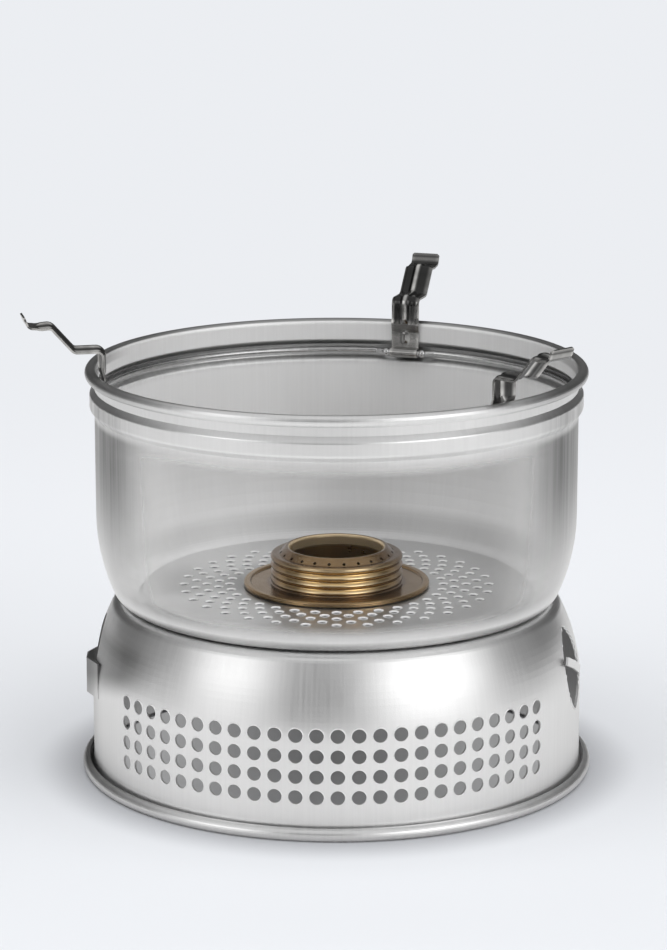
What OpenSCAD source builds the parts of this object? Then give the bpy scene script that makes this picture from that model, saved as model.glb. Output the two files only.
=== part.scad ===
// Two-part storm cooker: a lower windshield with a spirit burner in its deck, and an upper
// windshield that carries three folding pot supports on a sprung wire.
// Millimetres. Z is up, the origin is on the axis at floor level, and the air holes face -Y.

/* [Sheet] */
// Aluminium sheet of both windshields
sheet = 1; // [0.8:0.1:1.2]
// Gap left between a piece and its seat
seat_gap = 0.3; // [0.2:0.05:0.5]

/* [Lower windshield] */
// Outer radius of the lower wall
base_r = 105.2; // [102:0.1:110]
// Outer radius of the rolled foot bead's tube
foot_bead_r = 2.8; // [2.2:0.1:2.8]
// How far the foot bead stands out past the wall
foot_bead_out = 4.8; // [4.6:0.1:6]
// Depth of the flat worn on the foot bead
foot_flat = 0.3; // [0.2:0.05:0.5]
// Height where the lower wall starts to flare into the foot bead
flare_z = 7; // [6.5:0.5:9]
// Radius of the curve from the lower wall into the shoulder
wall_round = 60; // [20:1:60]
// Height of the bend between wall and shoulder
shoulder_z = 45; // [43:0.5:46]
// Lean of the shoulder from upright, in degrees
shoulder_lean = 12; // [10:0.5:13]
// Radius of the curve from the shoulder into its crown
crown_round = 74; // [20:1:74]
// Height of the bend between shoulder and crown
crown_z = 61; // [60:0.5:62]
// Lean of the crown from upright, in degrees
crown_lean = 25; // [22:0.5:27]
// Radius of the rounded top edge
top_round = 5.5; // [4:0.5:6]
// Height of the ledge that the upper windshield stands on
ledge_z = 75; // [74:0.5:78]
// Height of the raised deck above the ledge
deck_rise = 4; // [3.5:0.1:5]
// Outer radius of the raised deck
deck_r = 83.7; // [82:0.1:85]
// Radius of the raised deck's rounded edge
deck_round = 2; // [1.5:0.1:2.2]

/* [Air holes] */
// Diameter of a side hole
side_hole_d = 6; // [4:0.1:6.5]
// Rows of side holes
side_rows = 4; // [1:1:4]
// Side holes in a row
side_columns = 24; // [4:1:24]
// Height of the lowest row
side_first_z = 17.6; // [16:0.1:19]
// Distance between rows
side_pitch_z = 8.66; // [7.5:0.1:9]
// Angle between columns, in degrees
side_step = 4.72; // [4:0.01:4.8]
// Angle of the first column left of the front, in degrees
side_first_angle = 56.4; // [50:0.1:58]
// Diameter of a deck hole
deck_hole_d = 4; // [3:0.1:4.2]
// Rings of deck holes
deck_rings = 5; // [1:1:5]
// Deck holes in a ring
deck_ring_count = 32; // [12:1:34]
// Radius of the innermost ring
deck_ring_r = 46; // [45:0.1:48]
// Distance between rings
deck_ring_pitch = 4.9; // [4.6:0.1:5.2]

/* [Strap slots] */
// Angle of the right slot from the front, in degrees
slot_right_angle = 75.5; // [74:0.5:80]
// Angle of the left slot from the front, in degrees
slot_left_angle = 88; // [84:0.5:96]
// Width of a slot along the wall
slot_w = 26; // [22:0.5:28]
// Height of a slot from tip to tip
slot_h = 36.5; // [32:0.5:37]
// Height of the slot's middle
slot_z = 49.2; // [48:0.1:51]
// Height of the bridge across the right slot
bridge_right_h = 3.6; // [3:0.2:6]
// How far the right bridge bows out of the wall
bridge_right_bow = 0.6; // [0.4:0.1:3]
// Height of the right bridge's middle
bridge_right_z = 49.8; // [48:0.1:52]
// Tilt of the right bridge, in degrees
bridge_right_tilt = 24; // [0:1:26]
// Height of the bridge across the left slot
bridge_left_h = 15; // [8:0.5:16]
// How far the left bridge bows out of the wall
bridge_left_bow = 2.6; // [1:0.1:4]
// Height of the left bridge's middle
bridge_left_z = 41; // [40:0.1:46]
// Tilt of the left bridge, in degrees
bridge_left_tilt = 6; // [0:1:8]
// How far the left bridge runs on past each end of its slot
bridge_left_reach = 10; // [4:0.5:12]

/* [Upper windshield] */
// Outer radius of the upper wall
upper_r = 102.8; // [101:0.1:106]
// Height of the rim's top
rim_z = 176; // [170:0.5:182]
// Outer radius of the rolled rim's tube
rim_bead_r = 2.5; // [2.2:0.1:2.8]
// Depth of the wire's middle below the rim's top
wire_drop = 14.2; // [13:0.1:18]
// Flat height inside the groove
groove_flat = 5; // [4.5:0.1:6]
// Depth of the groove
groove_depth = 2.1; // [1.9:0.1:2.5]
// Height that each flank of the groove takes
groove_flank = 2.4; // [2:0.1:3]
// Lean of the drawn-in foot from upright, in degrees
bowl_lean = 22.4; // [20:0.2:24]
// Radius of the long curve from wall to foot
bowl_round = 80; // [60:1:80]
// Height of the drawn-in foot, where the lines of wall and foot would meet
bowl_h = 21.2; // [20:0.2:24]
// Radius of the tight curve under the foot
foot_round = 7; // [6:0.5:10]
// Gap round the raised deck inside the foot
foot_gap = 1.3; // [1:0.1:2]

/* [Bayonet] */
// Width of a tongue on the raised deck
tongue_w = 11; // [8:0.5:14]
// How far a tongue stands out of the raised deck
tongue_out = 3; // [2.5:0.1:3.5]
// Thickness of a tongue
tongue_t = 1; // [0.8:0.1:1.2]
// Play on each side of a tongue in its notch
notch_play = 1.5; // [1:0.1:3]

/* [Support wire] */
// Radius of the wire
wire_r = 1.25; // [1:0.05:1.4]
// Gap between the wire and the bottom of the groove
wire_gap = 0.35; // [0.3:0.05:0.5]
// Length of the jog beside each pin
jog_len = 5; // [4:0.5:8]
// Radius of the knuckle at each end of a pin
knuckle_r = 1.8; // [1.6:0.1:2]

/* [Pot supports] */
// Angle of the back support from +X, in degrees
support_angle = 72; // [60:1:80]
// Steel strip thickness
strip_t = 0.85; // [0.7:0.05:1]
// Strip width
strip_w = 12.6; // [11:0.1:14]
// Running gap between wire and barrel
pin_gap = 0.05; // [0.03:0.01:0.08]
// Gap between the leg and the neck of the upper windshield
leg_gap = 0.35; // [0.25:0.05:0.6]
// How far the leg is set back above the rim
leg_set = 0.9; // [0.9:0.1:2]
// Height of the inner flat above the rim
arm_rise = 10.8; // [8:0.2:12]
// Length of the inner flat
arm_len = 12.5; // [10:0.5:14]
// Height of the slope between the flats
slope_h = 10.8; // [10:0.2:14]
// Length of the slope between the flats
slope_len = 9.5; // [8:0.1:12]
// Length of the outer flat
rest_len = 9.5; // [8:0.5:12]
// How far the outer flat falls towards the tip
rest_drop = 0.8; // [0:0.1:1.5]
// Height of the turned-up tip
tip_h = 5; // [4.5:0.5:8]
// Lean of the turned-up tip from upright, in degrees
tip_lean = 20; // [10:1:30]
// Radius of the bends in the strip
bend_r = 3; // [1.8:0.2:3]
// Width of the pressed rib
rib_w = 4.6; // [4:0.1:5]
// Height of the pressed rib
rib_h = 0.9; // [0.4:0.1:1]
// Depth of the strip's rolled edges
edge_h = 0.8; // [0.5:0.1:1]

/* [Burner] */
// Brass sheet
brass = 0.6; // [0.5:0.05:0.8]
// Outer radius of the fuel cup
cup_r = 31.2; // [29.5:0.1:32]
// Gap round the cup in the deck
cup_gap = 0.8; // [0.5:0.1:1.2]
// Radius of the rounded edge of the cup's floor
cup_round = 3.5; // [2:0.5:5]
// Depth of the cup below its flange
cup_h = 29; // [26:0.5:32]
// Outer radius of the burner's flange
flange_r = 39.9; // [38:0.1:41]
// Width of the rolled edge of the flange
flange_edge_w = 3.2; // [2.8:0.1:3.6]
// Height of the rolled edge above its seat
flange_edge_h = 2; // [1.8:0.1:2.4]
// How far the inner side of the rolled edge leans
flange_edge_slope = 0.4; // [0.3:0.1:0.6]
// Radius of the rolled edge's outer corner
flange_edge_round = 0.9; // [0.6:0.1:1.1]
// Radius at the crests of the thread
thread_r = 28.4; // [27.5:0.1:29]
// Depth of the thread
thread_depth = 0.9; // [0.6:0.1:1.1]
// Pitch of the thread
thread_pitch = 3.2; // [3:0.1:3.4]
// Turns of the thread
thread_turns = 3; // [2:1:3]
// Radius at the foot of the jet cone
cone_r = 24.9; // [24:0.1:25.5]
// Outer radius of the top rim
top_r = 22.7; // [22:0.1:23.2]
// Height of the jet cone with the top rim
cone_h = 2.9; // [2.5:0.1:3.5]
// Outer radius of the lip inside the well
lip_r = 20.6; // [20:0.1:21]
// Depth of the lip inside the well
lip_h = 4.4; // [4:0.1:6]
// Number of jets
jets = 24; // [12:1:24]
// Diameter of a jet
jet_d = 1.4; // [1:0.1:1.5]
// Height of the jets above the crease at the cone's foot
jet_rise = 0.8; // [0.7:0.1:1.1]
// Lean of the jets from upright, in degrees
jet_lean = 45; // [40:1:60]
// Gap between the lip and the inner wall behind it
sleeve_gap = 0.1; // [0.05:0.05:0.15]
// Gap between the wick and the walls round it
wick_gap = 0.3; // [0.2:0.05:0.5]
// Height of the wick
wick_h = 20; // [10:1:21]

/* [Hidden] */

// Steps in a rounded corner and in a rolled bead
corner_steps = 6;
bead_steps = 20;
// Angles between which the foot bead and the rim are rolled
foot_roll = [190, 455];
rim_roll = [170, -105];
// Radii of small bends: tight ones, soft ones, and the flare above the foot bead
tight_bend = 0.6;
soft_bend = 1.4;
flare_bend = 5;
// Overlap that joins solids, and reach of a cutter past what it cuts
joined = 0.2;
past = 5;
// Cosine of the turn below which a corner counts as straight
straight = 0.9999;
// Sides of a round hole, of a barrel and of a turned form
hole_fn = 24;
barrel_fn = 48;
turned_fn = 180;

// Heights and radii that follow from the sizes above
deck_z = ledge_z + deck_rise;
upper_foot_z = ledge_z + seat_gap;
burner_z = deck_z + seat_gap;
burner_hole_r = cup_r + cup_gap;
plate_r = deck_ring_r + (deck_rings - 1) * deck_ring_pitch + deck_hole_d;
foot_inner_r = deck_r + foot_gap;
tongue_z = upper_foot_z + sheet + seat_gap;
crown_r = base_r - (crown_z - shoulder_z) * tan(shoulder_lean);
shoulder_top_r = crown_r - (ledge_z - crown_z) * tan(crown_lean);
bowl_z = upper_foot_z + bowl_h;
bowl_foot_r = upper_r - (bowl_h - sheet) * tan(bowl_lean);
wire_z = rim_z - wire_drop;
neck_inner_r = upper_r - sheet;
groove_inner_r = neck_inner_r + groove_depth;
wire_ring_r = groove_inner_r - wire_gap - wire_r;

// Pot support, measured from the pin
barrel_bore_r = wire_r + pin_gap;
barrel_r = barrel_bore_r + strip_t;
barrel_mid_r = barrel_bore_r + strip_t / 2;
leg_low_r = sqrt(pow(neck_inner_r - leg_gap, 2) - pow(strip_w / 2, 2)) - strip_t / 2;
pin_r = leg_low_r - barrel_mid_r;
leg_r = leg_low_r - leg_set;
kink_low_z = rim_z - 2 * rim_bead_r;
kink_high_z = rim_z - rim_bead_r / 2;
arm_z = rim_z + arm_rise;
arm_r = leg_r + arm_len;
rest_r = arm_r + slope_len;
rest_z = arm_z + slope_h;
tip_z = rest_z - rest_drop;
tip_r = rest_r + rest_len;
knuckle_y = strip_w / 2 + seat_gap + knuckle_r;
jog_angle = asin((knuckle_y + jog_len) / wire_ring_r);

// Burner, from its flange up
flange_z = burner_z + brass;
foot_z = flange_z + brass;
thread_base_z = foot_z + thread_pitch / 2;
shoulder_edge_z = thread_base_z + thread_turns * thread_pitch;
crease_z = shoulder_edge_z + thread_pitch / 2;
burner_top_z = crease_z + cone_h;
cup_floor_z = burner_z - cup_h;

function unit(v) = v / norm(v);
function left(v) = [-v[1], v[0]];
function reversed(list) = [for (i = [len(list) - 1:-1:0]) list[i]];

// Points along an arc about c, from angle a to angle b
function arc(c, r, a, b, steps) =
    [for (i = [0:steps]) let (t = a + (b - a) * i / steps) c + r * [cos(t), sin(t)]];

// Corner b between a and c, rounded to radius r, or b alone where the path runs straight on
function corner(a, b, c, r) =
    unit(a - b) * unit(b - c) > straight ? [b] :
    let (
        u = unit(a - b),
        w = unit(c - b),
        half = acos(u * w) / 2,
        middle = b + unit(u + w) * r / sin(half),
        from = b + u * r / tan(half) - middle,
        to = b + w * r / tan(half) - middle,
        start = atan2(from[1], from[0]),
        turn = (atan2(to[1], to[0]) - start + 540) % 360 - 180
    )
    arc(middle, r, start, start + turn, corner_steps);

// Path whose inner corners are rounded, one radius for each; 0 keeps a corner sharp
function rounded(path, radii) = [
    path[0],
    for (i = [1:len(path) - 2])
        each (radii[i - 1] > 0
            ? corner(path[i - 1], path[i], path[i + 1], radii[i - 1])
            : [path[i]]),
    path[len(path) - 1]
];

// Path moved sideways by d, to the left of its direction
function beside(path, d) = [
    for (i = [0:len(path) - 1])
        let (
            last = len(path) - 1,
            before = left(unit(path[max(i, 1)] - path[max(i, 1) - 1])),
            after = left(unit(path[min(i, last - 1) + 1] - path[min(i, last - 1)])),
            n = unit(before + after)
        )
        path[i] + n * d / (n * before)
];

// Outline of sheet metal that lies between two offsets of a path
function metal(path, d0, d1) = concat(beside(path, d0), reversed(beside(path, d1)));

module turned(outline) {
    rotate_extrude($fn = turned_fn) polygon(outline);
}

// Sheet path of the lower windshield along its outer face, from deck hole to foot bead
base_bead_mid_r = foot_bead_r - sheet / 2;
base_bead_c = [base_r + foot_bead_out - foot_bead_r, foot_bead_r - foot_flat];
base_bead_start_r = base_bead_c[0] - base_bead_mid_r + sheet / 2;
base_path = concat(
    rounded(
        [
            [plate_r, deck_z],
            [deck_r, deck_z],
            [deck_r, ledge_z],
            [shoulder_top_r, ledge_z],
            [crown_r, crown_z],
            [base_r, shoulder_z],
            [base_r, flare_z],
            [base_bead_start_r, base_bead_c[1] + foot_bead_r / 2],
            base_bead_c - [base_bead_mid_r - sheet / 2, 0]
        ],
        [
            deck_round, deck_round / 2, top_round, crown_round, wall_round, flare_bend, soft_bend
        ]
    ),
    arc(base_bead_c, base_bead_mid_r - sheet / 2, foot_roll[0], foot_roll[1], bead_steps)
);

// Pointed opening of a slot
module slot_cut() {
    side_r = (slot_w * slot_w + slot_h * slot_h) / (4 * slot_w);
    rotate([0, 90, 0])
        linear_extrude(base_r + past)
            intersection_for (side = [-1, 1])
                translate([0, side * (side_r - slot_w / 2)]) circle(side_r, $fn = turned_fn);
}

// Opening in the wall behind a bridge
module bridge_cut(h, reach) {
    half_y = slot_w / 2 + reach - sheet;
    translate([0, -half_y, -h / 2]) cube([base_r + past, 2 * half_y, h]);
}

// Bridge across a slot, seen from above as a bowed strip
module bridge(h, bow, reach) {
    wall_r = base_r - sheet;
    end_y = slot_w / 2 + reach + sheet;
    flat_y = slot_w / 4;
    end_x = sqrt(wall_r * wall_r - end_y * end_y) + joined;
    bowed = rounded(
        [
            [end_x, -end_y],
            [wall_r + bow, -flat_y],
            [wall_r + bow, flat_y],
            [end_x, end_y]
        ],
        [soft_bend, soft_bend]
    );
    linear_extrude(h, center = true) polygon(metal(bowed, 0, -sheet));
}

// Puts its children on the wall at an angle from the front, negative to the left, and tilts them
module at_wall(angle, z, tilt = 0) {
    rotate([0, 0, angle - 90]) translate([0, 0, z]) rotate([tilt, 0, 0]) children();
}

module side_holes() {
    for (row = [0:side_rows - 1], column = [0:side_columns - 1])
        rotate([0, 0, -90 - side_first_angle + column * side_step])
            translate([base_r - past, 0, side_first_z + row * side_pitch_z])
                rotate([0, 90, 0])
                    cylinder(d = side_hole_d, h = 2 * past, $fn = hole_fn);
}

// Flat middle of the deck: rings of holes, each turned by half a step from the last
module deck_plate() {
    step = 360 / deck_ring_count;
    translate([0, 0, deck_z - sheet])
        linear_extrude(sheet)
            difference() {
                circle(plate_r, $fn = turned_fn);
                circle(burner_hole_r, $fn = turned_fn);
                for (ring = [0:deck_rings - 1], i = [0:deck_ring_count - 1])
                    rotate(-90 + step * (i + (ring % 2) / 2))
                        translate([deck_ring_r + ring * deck_ring_pitch, 0])
                            circle(d = deck_hole_d, $fn = hole_fn);
            }
}

module tongues() {
    for (i = [0:2])
        rotate([0, 0, support_angle + 120 * i])
            translate([deck_r - sheet / 2, -tongue_w / 2, tongue_z])
                cube([tongue_out + sheet / 2, tongue_w, tongue_t]);
}

module lower_shell() {
    rotate_extrude($fn = turned_fn)
        difference() {
            polygon(metal(base_path, 0, -sheet));
            translate([0, -past]) square([base_r + 2 * past, past]);
        }
}

module lower_windshield() {
    color("gainsboro") {
        difference() {
            lower_shell();
            side_holes();
            at_wall(slot_right_angle, slot_z) slot_cut();
            at_wall(-slot_left_angle, slot_z) slot_cut();
            at_wall(-slot_left_angle, bridge_left_z, bridge_left_tilt)
                bridge_cut(bridge_left_h, bridge_left_reach);
        }
        deck_plate();
        tongues();
        at_wall(slot_right_angle, bridge_right_z, -bridge_right_tilt)
            bridge(bridge_right_h, bridge_right_bow, sheet);
        at_wall(-slot_left_angle, bridge_left_z, bridge_left_tilt)
            bridge(bridge_left_h, bridge_left_bow, bridge_left_reach);
    }
}

// Sheet path of the upper windshield along its inner face, from foot to rolled rim
rim_c = [neck_inner_r + rim_bead_r, rim_z - rim_bead_r];
bowl_len = (bowl_h - sheet) / cos(bowl_lean);
foot_tangent = foot_round * tan(45 - bowl_lean / 2);
bowl_fit_r = min(bowl_round, (bowl_len - foot_tangent) / tan(bowl_lean / 2));
upper_path = concat(
    rounded(
        [
            [foot_inner_r, upper_foot_z + sheet],
            [bowl_foot_r - sheet, upper_foot_z + sheet],
            [neck_inner_r, bowl_z],
            [neck_inner_r, wire_z - groove_flat / 2 - groove_flank],
            [groove_inner_r, wire_z - groove_flat / 2],
            [groove_inner_r, wire_z + groove_flat / 2],
            [neck_inner_r, wire_z + groove_flat / 2 + groove_flank],
            rim_c - [rim_bead_r, 0]
        ],
        [foot_round - sheet, bowl_fit_r, soft_bend, soft_bend, tight_bend, tight_bend]
    ),
    arc(rim_c, rim_bead_r, rim_roll[0], rim_roll[1], bead_steps)
);

// Notches in the foot that let the deck's tongues pass
module notches() {
    notch_w = tongue_w + 2 * notch_play;
    notch_r = deck_r + tongue_out + foot_gap;
    for (i = [0:2])
        rotate([0, 0, support_angle + 120 * i])
            translate([foot_inner_r - past, -notch_w / 2, upper_foot_z - past])
                cube([notch_r - foot_inner_r + past, notch_w, 2 * past]);
}

module upper_windshield() {
    color("silver")
        difference() {
            turned(metal(upper_path, 0, -sheet));
            notches();
        }
}

// One third of the wire: pin, knuckles and jogs at +X, then the arc to the next pin
module wire_third() {
    jog_end = wire_ring_r * [cos(jog_angle), sin(jog_angle)];
    jog_run = jog_end - [pin_r, knuckle_y];
    translate([pin_r, 0, 0])
        rotate([90, 0, 0]) cylinder(r = wire_r, h = 2 * knuckle_y, center = true, $fn = hole_fn);
    for (side = [-1, 1]) {
        translate([pin_r, side * knuckle_y, 0]) sphere(knuckle_r, $fn = hole_fn);
        translate([pin_r, side * knuckle_y, 0])
            rotate([0, 0, side * atan2(jog_run[1], jog_run[0])])
                rotate([0, 90, 0]) cylinder(r = wire_r, h = norm(jog_run), $fn = hole_fn);
        translate([jog_end[0], side * jog_end[1], 0])
            sphere(wire_r + pin_gap, $fn = hole_fn);
    }
    rotate([0, 0, jog_angle])
        rotate_extrude(angle = 120 - 2 * jog_angle, $fn = turned_fn)
            translate([wire_ring_r, 0]) circle(wire_r, $fn = hole_fn);
}

module support_wire() {
    color("dimgray")
        translate([0, 0, wire_z])
            for (i = [0:2])
                rotate([0, 0, support_angle + 120 * i]) wire_third();
}

// Middle line of a pot support's strip, from the pin to the tip
tip_run = tip_h * tan(tip_lean);
arm_share = 0.9;
strip_path = rounded(
    [
        [leg_low_r, wire_z],
        [leg_low_r, kink_low_z],
        [leg_r, kink_high_z],
        [leg_r, arm_z],
        [arm_r, arm_z],
        [rest_r, rest_z],
        [tip_r, tip_z],
        [tip_r + tip_run, tip_z + tip_h]
    ],
    [bend_r / 2, bend_r / 2, bend_r, bend_r, bend_r, bend_r]
);
// The stretch above the rim, which has a rib and rolled edges
arm_path = rounded(
    [
        [leg_r, kink_high_z + bend_r],
        [leg_r, arm_z],
        [arm_r, arm_z],
        [rest_r, rest_z],
        [tip_r, tip_z],
        [tip_r + tip_run * arm_share, tip_z + tip_h * arm_share]
    ],
    [bend_r, bend_r, bend_r, bend_r]
);

// Strip along a path seen from the side, w wide, between offsets d0 and d1
module strip(path, w, d0, d1) {
    rotate([90, 0, 0]) linear_extrude(w, center = true) polygon(metal(path, d0, d1));
}

module pot_support() {
    color("darkgray")
        difference() {
            union() {
                translate([pin_r, 0, wire_z])
                    rotate([90, 0, 0]) cylinder(r = barrel_r, h = strip_w, center = true, $fn = barrel_fn);
                strip(strip_path, strip_w, strip_t / 2, -strip_t / 2);
                strip(arm_path, rib_w, (strip_t + rib_h) / 2, -strip_t / 2);
                strip(arm_path, rib_w - 2 * rib_h, strip_t / 2 + rib_h, -strip_t / 2);
                for (side = [-1, 1])
                    translate([0, side * (strip_w - strip_t) / 2, 0])
                        strip(arm_path, strip_t, strip_t / 2, -strip_t / 2 - edge_h);
            }
            strip(arm_path, rib_w - 2 * strip_t, rib_h - strip_t / 2, -strip_t / 2 - joined);
            translate([pin_r, 0, wire_z])
                rotate([90, 0, 0])
                    cylinder(r = barrel_bore_r, h = strip_w + past, center = true, $fn = barrel_fn);
        }
}

module pot_support_back() {
    rotate([0, 0, support_angle]) pot_support();
}

module pot_support_left() {
    rotate([0, 0, support_angle + 120]) pot_support();
}

module pot_support_right() {
    rotate([0, 0, support_angle + 240]) pot_support();
}

// Cup of the burner along its outer face, from the middle of the floor to the flange
cup_path = rounded(
    [
        [0, cup_floor_z + brass],
        [cup_r / 2, cup_floor_z + brass],
        [cup_r / 2 + 2 * brass, cup_floor_z],
        [cup_r, cup_floor_z],
        [cup_r, burner_z],
        [flange_r - flange_edge_w, burner_z]
    ],
    [tight_bend, tight_bend, cup_round, soft_bend]
);

module burner_cup() {
    color("darkgoldenrod") turned(metal(cup_path, brass, 0));
}

// Neck of the burner along its outer face, from the lip in the well to the flange's edge
thread_mid_r = thread_r - thread_depth / 2;
thread_points = 8;
top_curl_r = (top_r - lip_r + brass) / 2;
neck_path = concat(
    [[lip_r - brass, burner_top_z - lip_h]],
    arc([top_r - top_curl_r, burner_top_z - top_curl_r], top_curl_r, 180, 30, bead_steps / 2),
    [[cone_r, crease_z]],
    rounded(
        [
            [cone_r + 2 * brass, crease_z],
            [thread_r, crease_z],
            [thread_r, shoulder_edge_z]
        ],
        [soft_bend]
    ),
    [
        for (i = [1:thread_turns * thread_points])
            [
                thread_mid_r + thread_depth / 2 * cos(360 * i / thread_points),
                shoulder_edge_z - thread_pitch * i / thread_points
            ]
    ],
    rounded(
        [
            [thread_r - thread_depth / 2, thread_base_z - thread_pitch / 4],
            [thread_r - thread_depth / 2, foot_z],
            [flange_r - flange_edge_w, foot_z],
            [flange_r - flange_edge_w + flange_edge_slope, burner_z + flange_edge_h],
            [flange_r, burner_z + flange_edge_h],
            [flange_r, burner_z + joined]
        ],
        [tight_bend, tight_bend / 2, tight_bend, flange_edge_round]
    )
);

module jet_holes() {
    jet_r = (2 * cone_r + top_r) / 3;
    for (i = [0:jets - 1])
        rotate([0, 0, 360 * (i + 0.5) / jets])
            translate([jet_r, 0, crease_z + jet_rise])
                rotate([0, jet_lean, 0])
                    cylinder(d = jet_d, h = 4 * brass, center = true, $fn = hole_fn);
}

module burner_neck() {
    color("goldenrod")
        difference() {
            turned(metal(neck_path, 0, -brass));
            jet_holes();
        }
}

module burner_inner_wall() {
    color("darkgoldenrod")
        translate([0, 0, cup_floor_z + brass])
            rotate_extrude($fn = turned_fn)
                translate([lip_r + sleeve_gap, 0])
                    square([brass, burner_top_z - cup_floor_z - 4 * brass]);
}

module burner_wick() {
    inner_r = lip_r + sleeve_gap + brass + wick_gap;
    color("ivory")
        translate([0, 0, cup_floor_z + max(brass + wick_gap, cup_round)])
            rotate_extrude($fn = turned_fn)
                translate([inner_r, 0])
                    square([cup_r - brass - wick_gap - inner_r, wick_h]);
}

lower_windshield();
upper_windshield();
support_wire();
pot_support_back();
pot_support_left();
pot_support_right();
burner_cup();
burner_neck();
burner_inner_wall();
burner_wick();
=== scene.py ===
"""Looks of a two-part storm cooker, in metres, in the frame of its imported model."""
from math import atan2, cos, pi, radians, sin, sqrt, tan, tau

import bpy
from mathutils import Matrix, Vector


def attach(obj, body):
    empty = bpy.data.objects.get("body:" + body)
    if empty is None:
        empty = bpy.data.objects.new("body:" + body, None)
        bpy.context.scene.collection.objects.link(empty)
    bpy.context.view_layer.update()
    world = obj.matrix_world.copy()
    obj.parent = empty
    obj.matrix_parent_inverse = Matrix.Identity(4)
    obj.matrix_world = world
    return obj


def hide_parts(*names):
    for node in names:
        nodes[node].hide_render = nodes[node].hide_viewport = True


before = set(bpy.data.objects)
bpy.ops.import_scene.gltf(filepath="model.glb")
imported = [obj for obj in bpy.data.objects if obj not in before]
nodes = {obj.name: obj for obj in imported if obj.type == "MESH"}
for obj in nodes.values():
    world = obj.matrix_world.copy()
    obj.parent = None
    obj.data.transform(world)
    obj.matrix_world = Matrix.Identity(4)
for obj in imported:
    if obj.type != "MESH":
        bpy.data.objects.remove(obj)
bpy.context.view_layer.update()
scene = bpy.context.scene
scene.view_settings.view_transform = "Standard"

# The photograph's camera: place, tilt in degrees, lens and sensor in millimetres, and reach
CAMERA_PLACE = (-0.001318, -1.425, 0.463763)
CAMERA_TILT = 76.715
CAMERA_LENS = 129.79
CAMERA_SENSOR = 36
CAMERA_REACH = 20

# Sizes from here to the colours are in millimetres, and angles in degrees, as in the part's source
MM = 0.001
SHEET = 1
BASE_R = 105.2
# Height where the lower wall starts to curve into the shoulder, and radius of that curve
WALL_BEND_Z = 38.7
WALL_ROUND = 60

# Deck holes, and the turned profile of their pressed edges: radius, height over the deck, tone. The
# tone is painted shade, dark deep in the hole and half on the outer slope
DECK_Z = 79
DECK_RINGS = 5
DECK_RING_COUNT = 32
DECK_RING_R = 46
DECK_RING_PITCH = 4.9
DECK_EDGE = (
    (1.72, -0.9, 0.0), (1.76, -0.55, 0.1), (1.79, -0.4, 1.0), (1.87, -0.1, 1.0),
    (2.04, 0.2, 1.0), (2.1, 0.2, 0.5), (2.3, 0.01, 0.5), (2.3, -0.9, 0.5),
)
DECK_EDGE_STEPS = 20

# Side holes, and the profile of their edges
SIDE_ROWS = 4
SIDE_COLUMNS = 24
SIDE_FIRST_Z = 17.6
SIDE_PITCH_Z = 8.66
SIDE_FIRST_ANGLE = 56.4
SIDE_STEP = 4.72
SIDE_EDGE = (
    (2.96, -0.7, 1.0), (2.96, 0.02, 1.0), (3.06, 0.12, 1.0), (3.3, 0.08, 1.0),
    (3.4, -0.1, 1.0), (3.4, -0.7, 1.0),
)
SIDE_EDGE_STEPS = 28

# Right strap slot, and the radius of the line along its edge
SLOT_RIGHT_ANGLE = 75.5
SLOT_W = 26
SLOT_H = 36.5
SLOT_Z = 49.2
SLOT_EDGE_R = 0.35
SLOT_EDGE_STEPS = 40
# Half-width of the strip of the plain back that gives the wall's profile, and the least radius there
PROFILE_HALF = 30
PROFILE_R = 90

# Upper windshield and support wire
UPPER_R = 102.8
RIM_Z = 176
RIM_BEAD_R = 2.5
WIRE_R = 1.25
WIRE_DROP = 14.2

# Pot supports. The tip is a hair lower than the CAD's, so that the pressed edges stay in its box
SUPPORT_ANGLE = 72
STRIP_T = 0.85
STRIP_W = 12.6
PIN_GAP = 0.05
LEG_GAP = 0.35
LEG_SET = 0.9
ARM_RISE = 10.8
ARM_LEN = 12.5
SLOPE_H = 10.8
SLOPE_LEN = 9.5
REST_LEN = 9.5
REST_DROP = 0.8
TIP_H = 4.99
TIP_LEAN = 20
BEND_R = 3
ROLL_START = -312
ROLL_STEP = 12
# Steps along and across a strip, and how far its corners are rounded in over the last stretch
STRIP_STEP = 0.7
STRIP_COUNT = 26
STRIP_CORNER = 0.8
STRIP_CORNER_LEN = 1.0
STRIP_SHARP = 50

# Pressing of a strip. A span is (from, to), or four numbers for what rises and falls again. It lies
# across from the middle, in height, or back from the tip
RIB_H = 0.9
RIB_SPAN = (0.7, 2.5)
RIM_H = 0.8
RIM_SPAN = (4.0, 6.3)
RIM_CURL = 1.4
DIMPLE_H = 0.5
DIMPLE_SPAN = (0.4, 1.8)
PRESSED_Z = (174.5, 177.5)
PRESSED_TO_TIP = (6.5, 10.5)
DIMPLE_Z = (165.5, 167.5, 170, 172)

# Painted light and shade of a strip: plain with painted highlights on the edges of the leg, and
# painted highlights on the crest and rims over painted shade in the valleys where it is pressed,
# with slow waves of painted reflection along it and bands of painted shade near the tip
PLAIN_TONE = 0.5
PLAIN_EDGE_HIGHLIGHT = 0.3
PLAIN_EDGE_HIGHLIGHT_SPAN = (4.5, 6.0)
CREST_HIGHLIGHT_SPAN = (0.3, 1.3)
RIM_HIGHLIGHT = 0.7
RIM_HIGHLIGHT_SPAN = (4.4, 5.8)
VALLEY_SHADE = 0.06
# Radians per millimetre of a short and a long wave of painted reflection, and shift of the long one
REFLECTION_WAVES = (0.85, 0.31, 1.0)
# Least share of the tone, and what the waves add to it
REFLECTION_WAVE_TONES = (0.55, 0.4)
TIP_SHADE_BANDS = ((0.6, 1.0, 1.6, 2.2), (3.6, 4.2, 5.4, 6.4))
TIP_BAND_SHADE = 0.8
# Painted shade on the upper part of a strip, and the heights over which it comes in
UPPER_PAINTED_SHADE = 0.6
UPPER_PAINTED_SHADE_Z = (183, 187)
# Each support: turn from the back one, painted shade on its upper part (below zero, lighter), width
# of its painted crest highlight
SUPPORTS = {"back": (0, 1.0, 1.0), "left": (120, -0.4, 2.0), "right": (240, -0.3, 1.3)}

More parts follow.
